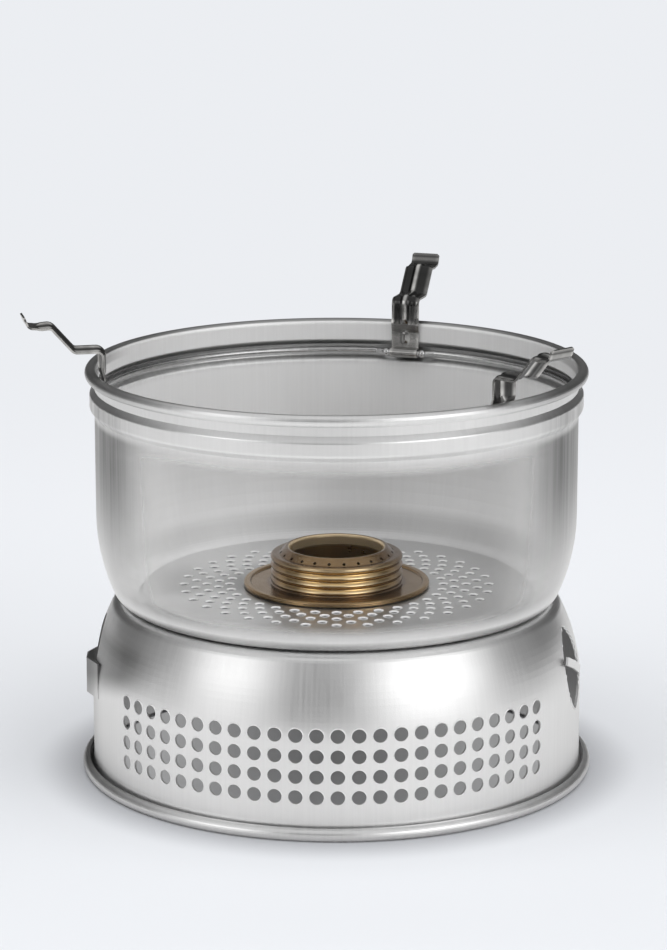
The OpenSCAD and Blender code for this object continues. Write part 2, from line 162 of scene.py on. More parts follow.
# Colours of the metals and of the wadding
WIRE_STEEL = (0.6, 0.6, 0.6)
# The strip goes from STRIP_DARK to STRIP_LIGHT with its painted light and shade
STRIP_DARK = (0.03, 0.03, 0.03)
STRIP_LIGHT = (0.80, 0.79, 0.77)
EDGE_SHADOW = (0.06, 0.06, 0.06)
AGED_LIGHT, AGED_BROWN = (0.74, 0.50, 0.22), (0.15, 0.10, 0.068)
BURNT_LIGHT, BURNT_BROWN = (0.62, 0.42, 0.14), (0.24, 0.15, 0.05)
# Painted highlight on the crests of the ridges
RIDGE_HIGHLIGHT = (1.0, 0.84, 0.58)
# Painted light on the lip of the well
LIP_PAINTED_LIGHT = (0.62, 0.52, 0.36)
WADDING_DARK, WADDING_LIGHT = (0.62, 0.36, 0.12), (0.95, 0.62, 0.26)

# Scales of noise per metre; three of them are along the wall, through it and up it
STREAKS = (700, 60, 14)
WIDE_STREAKS = (330, 30, 9)
SHEET_GRAIN = (1800, 1800, 1800)
SHEET_CLOUDS = 14
WIRE_SPOTS = 260
STRIP_SPOTS = 420
EDGE_WEAR = 500
TURNING_LINES = (8, 900, 1100)
PATINA = (40, 120, 120)
FIBRES = 700
# Radius at which the wall is unrolled, in metres
UNROLL_R = 0.104

# Most noise lies in MIDDLE, over which a value goes from its first number to its second
MIDDLE = (0.3, 0.7)
STREAK_MIDDLE = (0.25, 0.75)
STREAK_TONES = (0.0, 0.035)
STREAK_ROUGH = (0.0, 0.05)
CLOUD_TONES = (0.80, 0.85)
CLOUD_ROUGH = (0.30, 0.36)
STRIP_SHARES = (0.85, 1.0)
STRIP_ROUGH = (0.12, 0.2)
EDGE_ROUGH = (0.35, 0.5)
BRASS_SHARES = (0.7, 1.0)

# Least roughness of the wire and of the brass, the most that noise adds to it, and the wadding's
WIRE_ROUGH = 0.18
WIRE_ROUGHER = 0.08
AGED_ROUGH = 0.17
BURNT_ROUGH = 0.25
BRASS_ROUGHER = 0.1
WADDING_ROUGH = 0.95
# Darkest tone of the wire and of an edge, as a share of the full tone
WIRE_WORN = 0.82
EDGE_WORN = 0.9
# Tone of a pressed and of a cut edge, and how metallic it is: pale and partly matt, the edge's own
# pale metal with a painted highlight
PRESSED_EDGE_HIGHLIGHT = (1.0, 0.15)
CUT_EDGE_HIGHLIGHT = (0.95, 0.5)

# Bumps: strength, and distance in metres
SHEET_BUMP = (0.12, 0.0003)
WIRE_BUMP = (0.08, 0.0003)
BRASS_BUMP = (0.03, 0.0002)
WADDING_BUMP = (0.8, 0.001)
# Share of the streaks in the sheet's bumps, and of lines and patina in the wear of the brass
STREAK_BUMP = 0.6
LINES_IN_WEAR = 0.35
PATINA_IN_WEAR = 0.65

# Where painted light and shade change the tones. A region is a product of fades: (coordinate, from,
# to) rises from 0 to 1, and with two more values from the one to the other. Heights (z), radii and
# places across (x) are in metres. Turns are in degrees: off is from the front to either side, left
# is from the front to the left, and past_back is from the back to the right. The coordinate streaks
# is noise, and climb is the height plus SHOULDER_CLIMB for each radian to the left
SHOULDER_CLIMB = 0.023
ON_DECK = (("z", 0.0775, 0.0782), ("radius", 0.0815, 0.083, 1.0, 0.0))
LOWER_PAINTED_SHADES = (
    # Painted shade on the deck, darker towards the right
    (*ON_DECK, ("x", -0.07, 0.0, 0.0, 0.22)),
    # Painted shadow on the deck close to the burner, on the left
    (*ON_DECK, ("radius", 0.041, 0.056, 0.4, 0.0), ("x", -0.045, 0.0, 1.0, 0.0)),
    # Painted shade on the left of the shoulder, over a line that falls as it goes round
    (("left", 44, 62), ("left", 84, 110, 1.0, 0.0), ("climb", 0.066, 0.078, 0.0, 0.66),
     ("z", 0.060, 0.069, 1.0, 0.2), ("radius", 0.083, 0.0845)),
    # Painted shade on the left bridge, and less of it on the wall behind it
    (("left", 70, 84), ("left", 96, 125, 1.0, 0.0), ("radius", 0.1054, 0.1062, 0.25, 0.5)),
)

# The back half of the upper windshield, and the inner face of its wall there
BACK_HALF = ("off", 84, 100)
INNER_FACE = (BACK_HALF, ("radius", 0.1021, 0.1025, 1.0, 0.0))
# Painted light and shade on the inner face: its left is lighter, and it darkens towards the foot
INNER_LEFT_LIGHT = (("past_back", -50, 20, -0.14, 0.0), ("z", 0.084, 0.090))
INNER_FOOT_SHADE = (("z", 0.084, 0.092, 0.3, 0.0), ("past_back", -40, 0, 0.2, 1.0))
UPPER_PAINTED_SHADES = (
    # Painted shade on the sides of the wall, streaked
    (("off", 44, 66), ("off", 96, 110, 1.0, 0.0), ("z", 0.084, 0.145),
     ("z", 0.153, 0.157, 1.0, 0.0), ("streaks", 0.2, 0.7, 0.56, 0.8)),
    # Painted shade on the sides of the bead and the neck over it
    (("off", 46, 68), ("off", 74, 96, 1.0, 0.3), ("z", 0.154, 0.158),
     ("z", 0.1635, 0.166, 1.0, 0.15), ("streaks", 0.2, 0.7, 0.18, 0.52)),
    # Painted shade on the sides of the rim
    (("z", 0.1700, 0.1715), ("off", 30, 64, 0.0, 0.4), ("off", 100, 120, 1.0, 0.0)),
    # Painted shade on the top of the rim at the back
    (("z", 0.1746, 0.1754), ("off", 96, 130, 0.0, 0.55)),
)
# Painted shade inside the groove: on the right, and over the wire all the way round the back
GROOVE_SHADE_RIGHT = (("z", 0.1570, 0.1585, 0.0, 0.4), ("past_back", -40, 20))
GROOVE_SHADE_OVER_WIRE = (("z", 0.1628, 0.1636, 0.0, 0.55),)
GROOVE_SHADE_BACK = (("z", 0.1655, 0.1670, 1.0, 0.0), BACK_HALF)
# The see-through front, between foot and bead, with a fainter stretch at the seam
CLEAR_FRONT = (("off", 34, 80, 1.0, 0.0), ("z", 0.149, 0.158, 1.0, 0.0))
CLEAR_WALL = (("z", 0.0785, 0.088),)
CLEAR_SEAM = (("z", 0.0756, 0.0764, 0.0, 0.6), ("z", 0.0785, 0.081, 1.0, 0.0))
CLEAR_SHARE = 0.995
# How much less metallic and how much rougher the inner face is
INNER_MATT = 0.72
INNER_ROUGHER = 0.12

# Brown parts of the brass, flange and cone, and painted shade on the sides of the neck
OUTSIDE_LIP = ("radius", 0.0204, 0.0212)
ON_NECK = ("radius", 0.029, 0.031, 1.0, 0.0)
BRASS_BROWN_AND_SHADE = (
    (("z", 0.0812, 0.0826, 0.78, 0.0), ("radius", 0.0372, 0.0384, 1.0, 0.85)),
    (("z", 0.0918, 0.0934, 0.0, 0.76), OUTSIDE_LIP),
    (("off", 32, 74, 0.0, 0.85), ON_NECK, OUTSIDE_LIP),
)
# Painted highlights on the crests of the ridges, and painted light on the lip of the well, paler and
# less metallic
BRASS_RIDGE_HIGHLIGHTS = (("radius", 0.0277, 0.0283, 0.0, 0.5), ("z", 0.0812, 0.0826), ON_NECK)
BRASS_LIP_LIGHT = (("radius", 0.0204, 0.0212, 1.0, 0.0), ("z", 0.0905, 0.0915))
LIP_SHARE = 0.7
LIP_MATT = 0.4

# The pale background, the floor's tones, and the distances from the axis where these change
BACKGROUND = (0.837, 0.855, 0.888)
FLOOR_R = 3.0
FLOOR_SIDES = 96
FLOOR_TONE = (0.84, 0.84, 0.84)
FLOOR_TO_BACKGROUND = (0.35, 0.95)
SHADOW_TONE = (0.1, 0.1, 0.12)
SHADOW_SPAN = (0.106, 0.134, 0.42, 0.0)
# Glow of the floor inside the base, which shows through the side holes: weaker in the middle
GLOW_SPAN = (0.103, 0.1045, 1.0, 0.0)
GLOW_ACROSS = (0.01, 0.09, 0.07, 0.26)

# Soft boxes: side, degrees from the front where they fade in and out, level
SOFT_BOXES = ((-1, (22, 48), (60, 86), 1.5), (1, (8, 34), (58, 88), 1.9))
# Heights of the direction where they rise from their low level, and where they end
BOX_RISE = (-0.02, 0.46, 0.45, 1.0)
BOX_TOP = (0.48, 0.78, 1.0, 0.0)
# Dark walls at the front and the back, and a paler ceiling
FRONT_LEVEL = 0.24
BACK_LEVEL = 0.09
BACK_FROM = (90, 130)
CEILING_FROM = (0.55, 0.85)
CEILING_LEVEL = 0.7
# The overhead panel lights the floor and stays out of the metal's reflections
OVERHEAD_POWER = 32
OVERHEAD_SIZE = 2.6
OVERHEAD_PLACE = (0, 0.1, 2.2)


def make_camera():
    data = bpy.data.cameras.new("camera")
    data.lens = CAMERA_LENS
    data.sensor_width = CAMERA_SENSOR
    data.clip_end = CAMERA_REACH
    camera = bpy.data.objects.new("camera", data)
    camera.location = CAMERA_PLACE
    camera.rotation_euler = (radians(CAMERA_TILT), 0, 0)
    scene.collection.objects.link(camera)
    scene.camera = camera


def opaque(colour):
    return (*colour, 1)


def times(colour, share):
    return [share * c for c in colour]


class Nodes:
    """Builds the node tree of one material or world."""

    def __init__(self, owner):
        owner.use_nodes = True
        self.tree = owner.node_tree
        self.tree.nodes.clear()

    def add(self, kind, values=None, **settings):
        node = self.tree.nodes.new(kind)
        for name, value in settings.items():
            setattr(node, name, value)
        for name, value in (values or {}).items():
            socket = node.inputs[name]
            if isinstance(value, bpy.types.NodeSocket):
                self.tree.links.new(value, socket)
            else:
                socket.default_value = value
        return node

    def math(self, operation, a, b=0.0):
        return self.add("ShaderNodeMath", {0: a, 1: b}, operation=operation).outputs[0]

    def product(self, *values):
        result = values[0]
        for value in values[1:]:
            result = self.math("MULTIPLY", result, value)
        return result

    def without(self, value, *shares):
        """The value after each share of it has been taken away in turn."""
        for share in shares:
            value = self.product(value, self.math("SUBTRACT", 1.0, share))
        return value

    def fade(self, value, low, high, before=0.0, after=1.0):
        node = self.add(
            "ShaderNodeMapRange",
            {"Value": value, "From Min": low, "From Max": high, "To Min": before, "To Max": after},
            interpolation_type="SMOOTHSTEP",
        )
        return node.outputs["Result"]

    def vary(self, noise, low, high, middle=MIDDLE):
        """A value from low to high that follows the noise."""
        return self.fade(noise, *middle, low, high)

    def region(self, at, fades):
        """Product of fades over the coordinates in at."""
        return self.product(*[self.fade(at[name], *ends) for name, *ends in fades])

    def mix(self, share, a, b):
        """Mix of two colours: 6, 7 and 2 are the node's colour sockets."""
        return self.add("ShaderNodeMix", {0: share, 6: a, 7: b}, data_type="RGBA").outputs[2]

    def grey(self, tone):
        node = self.add("ShaderNodeCombineColor", {"Red": tone, "Green": tone, "Blue": tone})
        return node.outputs[0]

    def noise(self, vector, scale=1.0, detail=3.0, rough=0.6):
        node = self.add(
            "ShaderNodeTexNoise",
            {"Vector": vector, "Scale": scale, "Detail": detail, "Roughness": rough},
        )
        return node.outputs["Fac"]

    def bump(self, height, strength, distance):
        node = self.add(
            "ShaderNodeBump", {"Height": height, "Strength": strength, "Distance": distance}
        )
        return node.outputs["Normal"]

    def place(self):
        return self.add("ShaderNodeTexCoord").outputs["Object"]

    def split(self, vector):
        return self.add("ShaderNodeSeparateXYZ", {"Vector": vector}).outputs

    def painted_light_and_shade(self):
        """The piece's tone attribute, its painted light and shade."""
        return self.add("ShaderNodeVertexColor", layer_name="tone").outputs["Color"]

    def stretched(self, vector, scale):
        return self.add("ShaderNodeMapping", {"Vector": vector, "Scale": scale}).outputs[0]

    def degrees_off(self, angle):
        return self.math("DEGREES", self.math("ABSOLUTE", angle))

    def round_the_axis(self):
        """Coordinates: place, angle from the front, z, radius, and place unrolled along the wall."""
        place = self.place()
        x, y, z = self.split(place)
        angle = self.math("ARCTAN2", x, self.product(y, -1))
        squares = self.math("ADD", self.math("POWER", x, 2), self.math("POWER", y, 2))
        radius = self.math("SQRT", squares)
        along = self.product(angle, UNROLL_R)
        unrolled = self.add("ShaderNodeCombineXYZ", {"X": along, "Y": radius, "Z": z}).outputs[0]
        return {"place": place, "angle": angle, "z": z, "radius": radius, "unrolled": unrolled}

    def principled(self, values):
        return self.add("ShaderNodeBsdfPrincipled", values).outputs[0]

    def surface(self, shader):
        self.add("ShaderNodeOutputMaterial", {"Surface": shader})


def new_material(name):
    material = bpy.data.materials.new(name)
    return material, Nodes(material)


def satin(n, at):
    """Tone, roughness and normal of spun aluminium, streaked up the wall."""
    streaks = n.noise(n.stretched(at["unrolled"], STREAKS), detail=4.0)
    grain = n.noise(n.stretched(at["unrolled"], SHEET_GRAIN))
    cloud = n.noise(at["place"], SHEET_CLOUDS, rough=0.5)
    tone = n.math("ADD", n.vary(streaks, *STREAK_TONES, STREAK_MIDDLE), n.vary(cloud, *CLOUD_TONES))
    rough = n.math("ADD", n.vary(cloud, *CLOUD_ROUGH), n.vary(streaks, *STREAK_ROUGH))
    normal = n.bump(n.math("ADD", grain, n.product(streaks, STREAK_BUMP)), *SHEET_BUMP)
    return tone, rough, normal


def lower_sheet(name):
    """Spun sheet of the lower windshield, with painted shade on the deck, the left of the shoulder
    and the left bridge.
    """
    material, n = new_material(name)
    at = n.round_the_axis()
    tone, rough, normal = satin(n, at)
    at["x"] = n.product(at["radius"], n.math("SINE", at["angle"]))
    at["left"] = n.math("DEGREES", n.product(at["angle"], -1.0))
    at["climb"] = n.math("ADD", at["z"], n.product(at["angle"], -SHOULDER_CLIMB))
    # Painted shade is taken off the sheet's tone
    tone = n.without(tone, *[n.region(at, shade) for shade in LOWER_PAINTED_SHADES])
    n.surface(n.principled(
        {"Base Color": n.grey(tone), "Metallic": 1.0, "Roughness": rough, "Normal": normal}
    ))
    return material


def upper_sheet(name):
    """Spun sheet of the upper windshield, whose front is see-through between foot and bead, with
    painted shade on its sides, rim and groove, and painted light and shade on its inner face.
    """
    material, n = new_material(name)
    at = n.round_the_axis()
    tone, rough, normal = satin(n, at)
    at["off"] = n.degrees_off(at["angle"])
    behind = n.product(n.math("COSINE", at["angle"]), -1.0)
    at["past_back"] = n.math("DEGREES", n.math("ARCTAN2", n.math("SINE", at["angle"]), behind))
    at["streaks"] = n.noise(n.stretched(at["unrolled"], WIDE_STREAKS))
    inner = n.region(at, INNER_FACE)
    # Painted light and shade on the inner face
    inner_light_and_shade = n.math("ADD", n.region(at, INNER_LEFT_LIGHT), n.region(at, INNER_FOOT_SHADE))
    # Painted shade inside the groove
    groove = n.math("MAXIMUM", n.region(at, GROOVE_SHADE_RIGHT), n.region(at, GROOVE_SHADE_OVER_WIRE))
    shades = [n.region(at, shade) for shade in UPPER_PAINTED_SHADES]
    shades += [n.product(inner, inner_light_and_shade), n.product(groove, n.region(at, GROOVE_SHADE_BACK))]
    metal = n.principled({
        "Base Color": n.grey(n.without(tone, *shades)),
        "Metallic": n.math("SUBTRACT", 1.0, n.product(inner, INNER_MATT)),
        "Roughness": n.math("ADD", rough, n.product(inner, INNER_ROUGHER)),
        "Normal": normal,
    })
    wall = n.math("MAXIMUM", n.region(at, CLEAR_WALL), n.region(at, CLEAR_SEAM))
    clear = n.product(n.region(at, CLEAR_FRONT), wall, CLEAR_SHARE)
    gone = n.add("ShaderNodeBsdfTransparent").outputs[0]
    n.surface(n.add("ShaderNodeMixShader", {0: clear, 1: metal, 2: gone}).outputs[0])
    return material


def cut_sheet(name, tone, metallic, with_painted_shade=False):
    """Pale edge of a hole, its own pale metal with a painted highlight; with the flag set, its tone
    attribute paints shade on it, down to EDGE_SHADOW.
    """
    material, n = new_material(name)
    wear = n.noise(n.place(), EDGE_WEAR)
    pale = (tone, tone, tone)
    colour = n.mix(wear, opaque(pale), opaque(times(pale, EDGE_WORN)))
    if with_painted_shade:
        colour = n.mix(n.painted_light_and_shade(), opaque(EDGE_SHADOW), colour)
    n.surface(n.principled(
        {"Base Color": colour, "Metallic": metallic, "Roughness": n.vary(wear, *EDGE_ROUGH)}
    ))
    return material


def drawn_steel(name, colour, rough):
    material, n = new_material(name)
    spots = n.noise(n.place(), WIRE_SPOTS)
    worn = opaque(times(colour, WIRE_WORN))
    n.surface(n.principled({
        "Base Color": n.mix(n.vary(spots, 0.0, 1.0), worn, opaque(colour)),
        "Metallic": 1.0,
        "Roughness": n.vary(spots, rough, rough + WIRE_ROUGHER),
        "Normal": n.bump(spots, *WIRE_BUMP),
    }))
    return material


def polished_steel(name):
    """Springy steel strip; its painted light and shade come from its tone attribute."""
    material, n = new_material(name)
    spots = n.noise(n.place(), STRIP_SPOTS)
    share = n.product(n.painted_light_and_shade(), n.vary(spots, *STRIP_SHARES))
    n.surface(n.principled({
        "Base Color": n.mix(share, opaque(STRIP_DARK), opaque(STRIP_LIGHT)),
        "Metallic": 1.0,
        "Roughness": n.vary(spots, *STRIP_ROUGH),
    }))
    return material


def brass(name, light, brown, rough):
    """Turned brass, brown on the flange and the cone, with painted shade towards the sides, a
    painted highlight on its ridges and painted light on the lip of the well.
    """
    material, n = new_material(name)
    at = n.round_the_axis()
    at["off"] = n.degrees_off(at["angle"])
    lines = n.noise(n.stretched(at["unrolled"], TURNING_LINES), rough=0.5)
    patina = n.noise(n.stretched(at["unrolled"], PATINA), detail=4.0)
    wear = n.math("ADD", n.product(lines, LINES_IN_WEAR), n.product(patina, PATINA_IN_WEAR))
    share = n.without(n.vary(wear, *BRASS_SHARES), *[n.region(at, part) for part in BRASS_BROWN_AND_SHADE])
    # Painted highlight on the crests of the ridges
    bright = n.mix(n.region(at, BRASS_RIDGE_HIGHLIGHTS), opaque(light), opaque(RIDGE_HIGHLIGHT))
    plain = n.mix(share, opaque(brown), bright)
    # Painted light on the lip of the well
    lip = n.region(at, BRASS_LIP_LIGHT)
    n.surface(n.principled({
        "Base Color": n.mix(n.product(lip, LIP_SHARE), plain, opaque(LIP_PAINTED_LIGHT)),
        "Metallic": n.math("SUBTRACT", 1.0, n.product(lip, LIP_MATT)),
        "Roughness": n.vary(wear, rough + BRASS_ROUGHER, rough),
        "Normal": n.bump(lines, *BRASS_BUMP),
    }))
    return material


def wadding(name):
    material, n = new_material(name)
    fibres = n.noise(n.place(), FIBRES, detail=5.0, rough=0.7)
    n.surface(n.principled({
        "Base Color": n.mix(fibres, opaque(WADDING_DARK), opaque(WADDING_LIGHT)),
        "Roughness": WADDING_ROUGH,
        "Normal": n.bump(fibres, *WADDING_BUMP),
    }))
    return material


def paint(obj, material):
    obj.data.materials.clear()
    obj.data.materials.append(material)


def paint_nodes():
    paint(nodes["lower_windshield"], lower_sheet("satin_aluminium"))
    paint(nodes["upper_windshield"], upper_sheet("satin_aluminium_front"))
    paint(nodes["support_wire"], drawn_steel("drawn_wire", WIRE_STEEL, WIRE_ROUGH))
    aged = brass("aged_brass", AGED_LIGHT, AGED_BROWN, AGED_ROUGH)
    paint(nodes["burner_neck"], aged)
    paint(nodes["burner_cup"], aged)
    paint(nodes["burner_inner_wall"], brass("burnt_brass", BURNT_LIGHT, BURNT_BROWN, BURNT_ROUGH))
    paint(nodes["burner_wick"], wadding("wadding"))


def new_mesh(name, verts, faces, tones):
    """Smooth mesh with a tone attribute of painted light and shade, one value for each vertex."""
    mesh = bpy.data.meshes.new(name)
    mesh.from_pydata(verts, [], faces)
    mesh.polygons.foreach_set("use_smooth", [True] * len(mesh.polygons))
    attribute = mesh.color_attributes.new("tone", "FLOAT_COLOR", "POINT")
    attribute.data.foreach_set("color", [v for tone in tones for v in (tone, tone, tone, 1.0)])
    mesh.update()
    return mesh


def new_piece(name, mesh, material):
    obj = bpy.data.objects.new(name, mesh)
    scene.collection.objects.link(obj)
    paint(obj, material)
    return obj


def tube_faces(rows, row_len, first=0):
    """Faces from each row of vertices to the one that follows it in rows; a row is a closed loop."""
    faces = []
    for a, b in zip(rows, rows[1:]):
        for j in range(row_len):
            k = (j + 1) % row_len
            corners = (a * row_len + j, b * row_len + j, b * row_len + k, a * row_len + k)
            faces.append([first + corner for corner in corners])
    return faces


def turned_edges(name, places, profile, material, steps):
    """One mesh of small turned edges: each place is (centre, outward axis)."""
    verts, faces, tones = [], [], []
    for centre, axis in places:
        turn = axis.to_track_quat("Z", "Y")
        faces += tube_faces([*range(steps), 0], len(profile), len(verts))
        for i in range(steps):
            t = tau * i / steps
            for r, h, tone in profile:
                verts.append(centre + turn @ Vector((r * cos(t), r * sin(t), h)) * MM)
                tones.append(tone)
    edges = new_piece(name, new_mesh(name, [tuple(v) for v in verts], faces, tones), material)
    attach(edges, "base")


def deck_hole_edges():
    """Pressed-up edges of the deck's holes, in staggered rings."""
    places = []
    for ring in range(DECK_RINGS):
        r = DECK_RING_R + DECK_RING_PITCH * ring
        for i in range(DECK_RING_COUNT):
            t = radians(-90) + tau * (i + (ring % 2) / 2) / DECK_RING_COUNT
            places.append((Vector((r * cos(t), r * sin(t), DECK_Z)) * MM, Vector((0, 0, 1))))
    # Pressed edges with a painted highlight, and painted shade from their tone deep in the holes
    pressed = cut_sheet("pressed_edge_highlight", *PRESSED_EDGE_HIGHLIGHT, with_painted_shade=True)
    turned_edges("deck_hole_edges", places, DECK_EDGE, pressed, DECK_EDGE_STEPS)


def wall_radius(z):
    """Outer radius of the lower wall, up to where it has begun to curve into the shoulder."""
    return BASE_R - max(0.0, z - WALL_BEND_Z) ** 2 / (2 * WALL_ROUND)


def side_hole_edges(material):
    places = []
    for row in range(SIDE_ROWS):
        z = SIDE_FIRST_Z + SIDE_PITCH_Z * row
        for column in range(SIDE_COLUMNS):
            t = radians(-90 - SIDE_FIRST_ANGLE + SIDE_STEP * column)
            out = Vector((cos(t), sin(t), 0))
            places.append(((out * wall_radius(z) + Vector((0, 0, z))) * MM, out))
    turned_edges("side_hole_edges", places, SIDE_EDGE, material, SIDE_EDGE_STEPS)


def wall_profile():
    """Outer radius of the lower windshield at each height of its mesh, read off its plain back."""
    widest = {}
    for v in nodes["lower_windshield"].data.vertices:
        p = nodes["lower_windshield"].matrix_world @ v.co
        if p.y > 0 and abs(p.x) < PROFILE_HALF * MM:
            level = round(p.z, 5)
            widest[level] = max(widest.get(level, 0.0), sqrt(p.x ** 2 + p.y ** 2))
    return sorted((z, r) for z, r in widest.items() if r > PROFILE_R * MM)


def radius_at(profile, z):
    """Radius of the profile at height z."""
    for (z0, r0), (z1, r1) in zip(profile, profile[1:]):
        if z0 <= z <= z1:
            return r0 + (r1 - r0) * (z - z0) / (z1 - z0)
    return profile[-1][1]


def slot_outline(angle):
    """Lens-shaped outline of a strap slot on the wall, in metres."""
    width, height, middle = SLOT_W * MM, SLOT_H * MM, SLOT_Z * MM
    side_r = (width ** 2 + height ** 2) / (4 * width)
    profile = wall_profile()
    out, across = Vector((sin(angle), -cos(angle), 0)), Vector((cos(angle), sin(angle), 0))
    path = []
    for side in (-1, 1):
        for i in range(SLOT_EDGE_STEPS):
            up = side * height / 2 * cos(pi * i / SLOT_EDGE_STEPS)
            off = side * (sqrt(side_r ** 2 - up ** 2) - side_r + width / 2)
            r = radius_at(profile, middle + up)
            level = Vector((0, 0, middle + up))
            path.append(out * sqrt(r ** 2 - off ** 2) + across * off + level)
    return path


def slot_edge(name, angle, material):
    """Cut edge along a strap slot, pale, with a painted highlight."""
    path = slot_outline(angle)
    curve = bpy.data.curves.new(name, "CURVE")
    curve.dimensions = "3D"
    curve.bevel_depth = SLOT_EDGE_R * MM
    spline = curve.splines.new("POLY")
    spline.points.add(len(path) - 1)
    for point, place in zip(spline.points, path):
        point.co = (*place, 1)
    spline.use_cyclic_u = True
    made = bpy.data.objects.new(name, curve)
    mesh = bpy.data.meshes.new_from_object(made)
    bpy.data.objects.remove(made)
    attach(new_piece(name, mesh, material), "base")


def lower_edges():
    deck_hole_edges()
    cut_edge_highlight = cut_sheet("cut_edge_highlight", *CUT_EDGE_HIGHLIGHT)
    side_hole_edges(cut_edge_highlight)
    slot_edge("slot_edge_right", radians(SLOT_RIGHT_ANGLE), cut_edge_highlight)


def rounded(path, radii, steps=10):
    """Path of (r, z) points whose inner corners are rounded."""
    out = [Vector(path[0])]
    for i, radius in enumerate(radii):
        a, b, c = (Vector(q) for q in path[i:i + 3])
        u, w = (a - b).normalized(), (c - b).normalized()
        half = u.angle(w) / 2
        middle = b + (u + w).normalized() * radius / sin(half)
        start = b + u * radius / tan(half) - middle
        end = b + w * radius / tan(half) - middle
        a0 = atan2(start.y, start.x)
        turn = (atan2(end.y, end.x) - a0 + 3 * pi) % tau - pi
        for k in range(steps + 1):
            t = a0 + turn * k / steps
            out.append(middle + Vector((cos(t), sin(t))) * radius)
    out.append(Vector(path[-1]))
    return out


def spread(path, step):
    """The same path with its points about step apart, or closer."""
    out = [path[0]]
    for a, b in zip(path, path[1:]):
        count = max(1, round((b - a).length / step))
        out += [a.lerp(b, (k + 1) / count) for k in range(count)]
    return out


def rise(x, low, high):
    """Smooth step from 0 at low to 1 at high."""
    t = min(1.0, max(0.0, (x - low) / (high - low)))
    return t * t * (3 - 2 * t)


def hump(x, low, top_low, top_high, high):
    """Smooth step up from low to top_low, and down again from top_high to high."""
    return rise(x, low, top_low) * (1 - rise(x, top_high, high))


def strip_height(across, press, dimple):
    """Height of the pressed strip over its flat middle, across its width."""
    off = abs(across)
    rib = RIB_H * (1 - rise(off, *RIB_SPAN))
    rim = RIM_H * rise(off, *RIM_SPAN) ** RIM_CURL
    return press * (rib - rim) + dimple * DIMPLE_H * (1 - rise(off, *DIMPLE_SPAN))


def strip_light_and_shade(across, run, to_end, press, dark, crest_highlight_width):
    """Painted light and shade of the strip: across its width, after run from its start, and to_end
    before its tip.
    """
    off = abs(across)
    crest = 1 - rise(off, *[crest_highlight_width * x for x in CREST_HIGHLIGHT_SPAN])
    light = max(crest, RIM_HIGHLIGHT * rise(off, *RIM_HIGHLIGHT_SPAN))
    pressed = VALLEY_SHADE + (1 - VALLEY_SHADE) * light
    plain = PLAIN_TONE + PLAIN_EDGE_HIGHLIGHT * rise(off, *PLAIN_EDGE_HIGHLIGHT_SPAN)
    tone = plain + (pressed - plain) * press
    short, long, shift = REFLECTION_WAVES
    waves = 0.5 + 0.5 * cos(run * short) * cos(run * long + shift)
    band = sum(hump(to_end, *span) for span in TIP_SHADE_BANDS)
    least, more = REFLECTION_WAVE_TONES
    tone *= (least + more * waves) * (1 - TIP_BAND_SHADE * band)
    return tone * (1 - UPPER_PAINTED_SHADE * dark * (1 - crest * press))


def support_path():
    """Middle line of a strip as (r, z), and how many of its points lie in the roll on the wire."""
    barrel_r = WIRE_R + PIN_GAP + STRIP_T / 2
    leg_low_r = sqrt((UPPER_R - SHEET - LEG_GAP) ** 2 - (STRIP_W / 2) ** 2) - STRIP_T / 2
    leg_r = leg_low_r - LEG_SET
    pin = Vector((leg_low_r - barrel_r, RIM_Z - WIRE_DROP))
    arm = Vector((leg_r + ARM_LEN, RIM_Z + ARM_RISE))
    rest = arm + Vector((SLOPE_LEN, SLOPE_H))
    tip = rest + Vector((REST_LEN, -REST_DROP))
    end = tip + Vector((tan(radians(TIP_LEAN)), 1)) * TIP_H
    corners = [
        (leg_low_r, pin.y), (leg_low_r, RIM_Z - 2 * RIM_BEAD_R), (leg_r, RIM_Z - RIM_BEAD_R / 2),
        (leg_r, arm.y), arm, rest, tip, end,
    ]
    roll = [
        pin + Vector((cos(radians(t)), sin(radians(t)))) * barrel_r
        for t in range(ROLL_START, 0, ROLL_STEP)
    ]
    bends = rounded(corners, [BEND_R / 2] * 2 + [BEND_R] * 4)
    return spread(roll + bends, STRIP_STEP), len(roll)


def directions(path):
    """Mean direction of the path at each of its points."""
    steps = [(b - a).normalized() for a, b in zip(path, path[1:])]
    return [(a + b).normalized() for a, b in zip(steps[:1] + steps, steps + steps[-1:])]


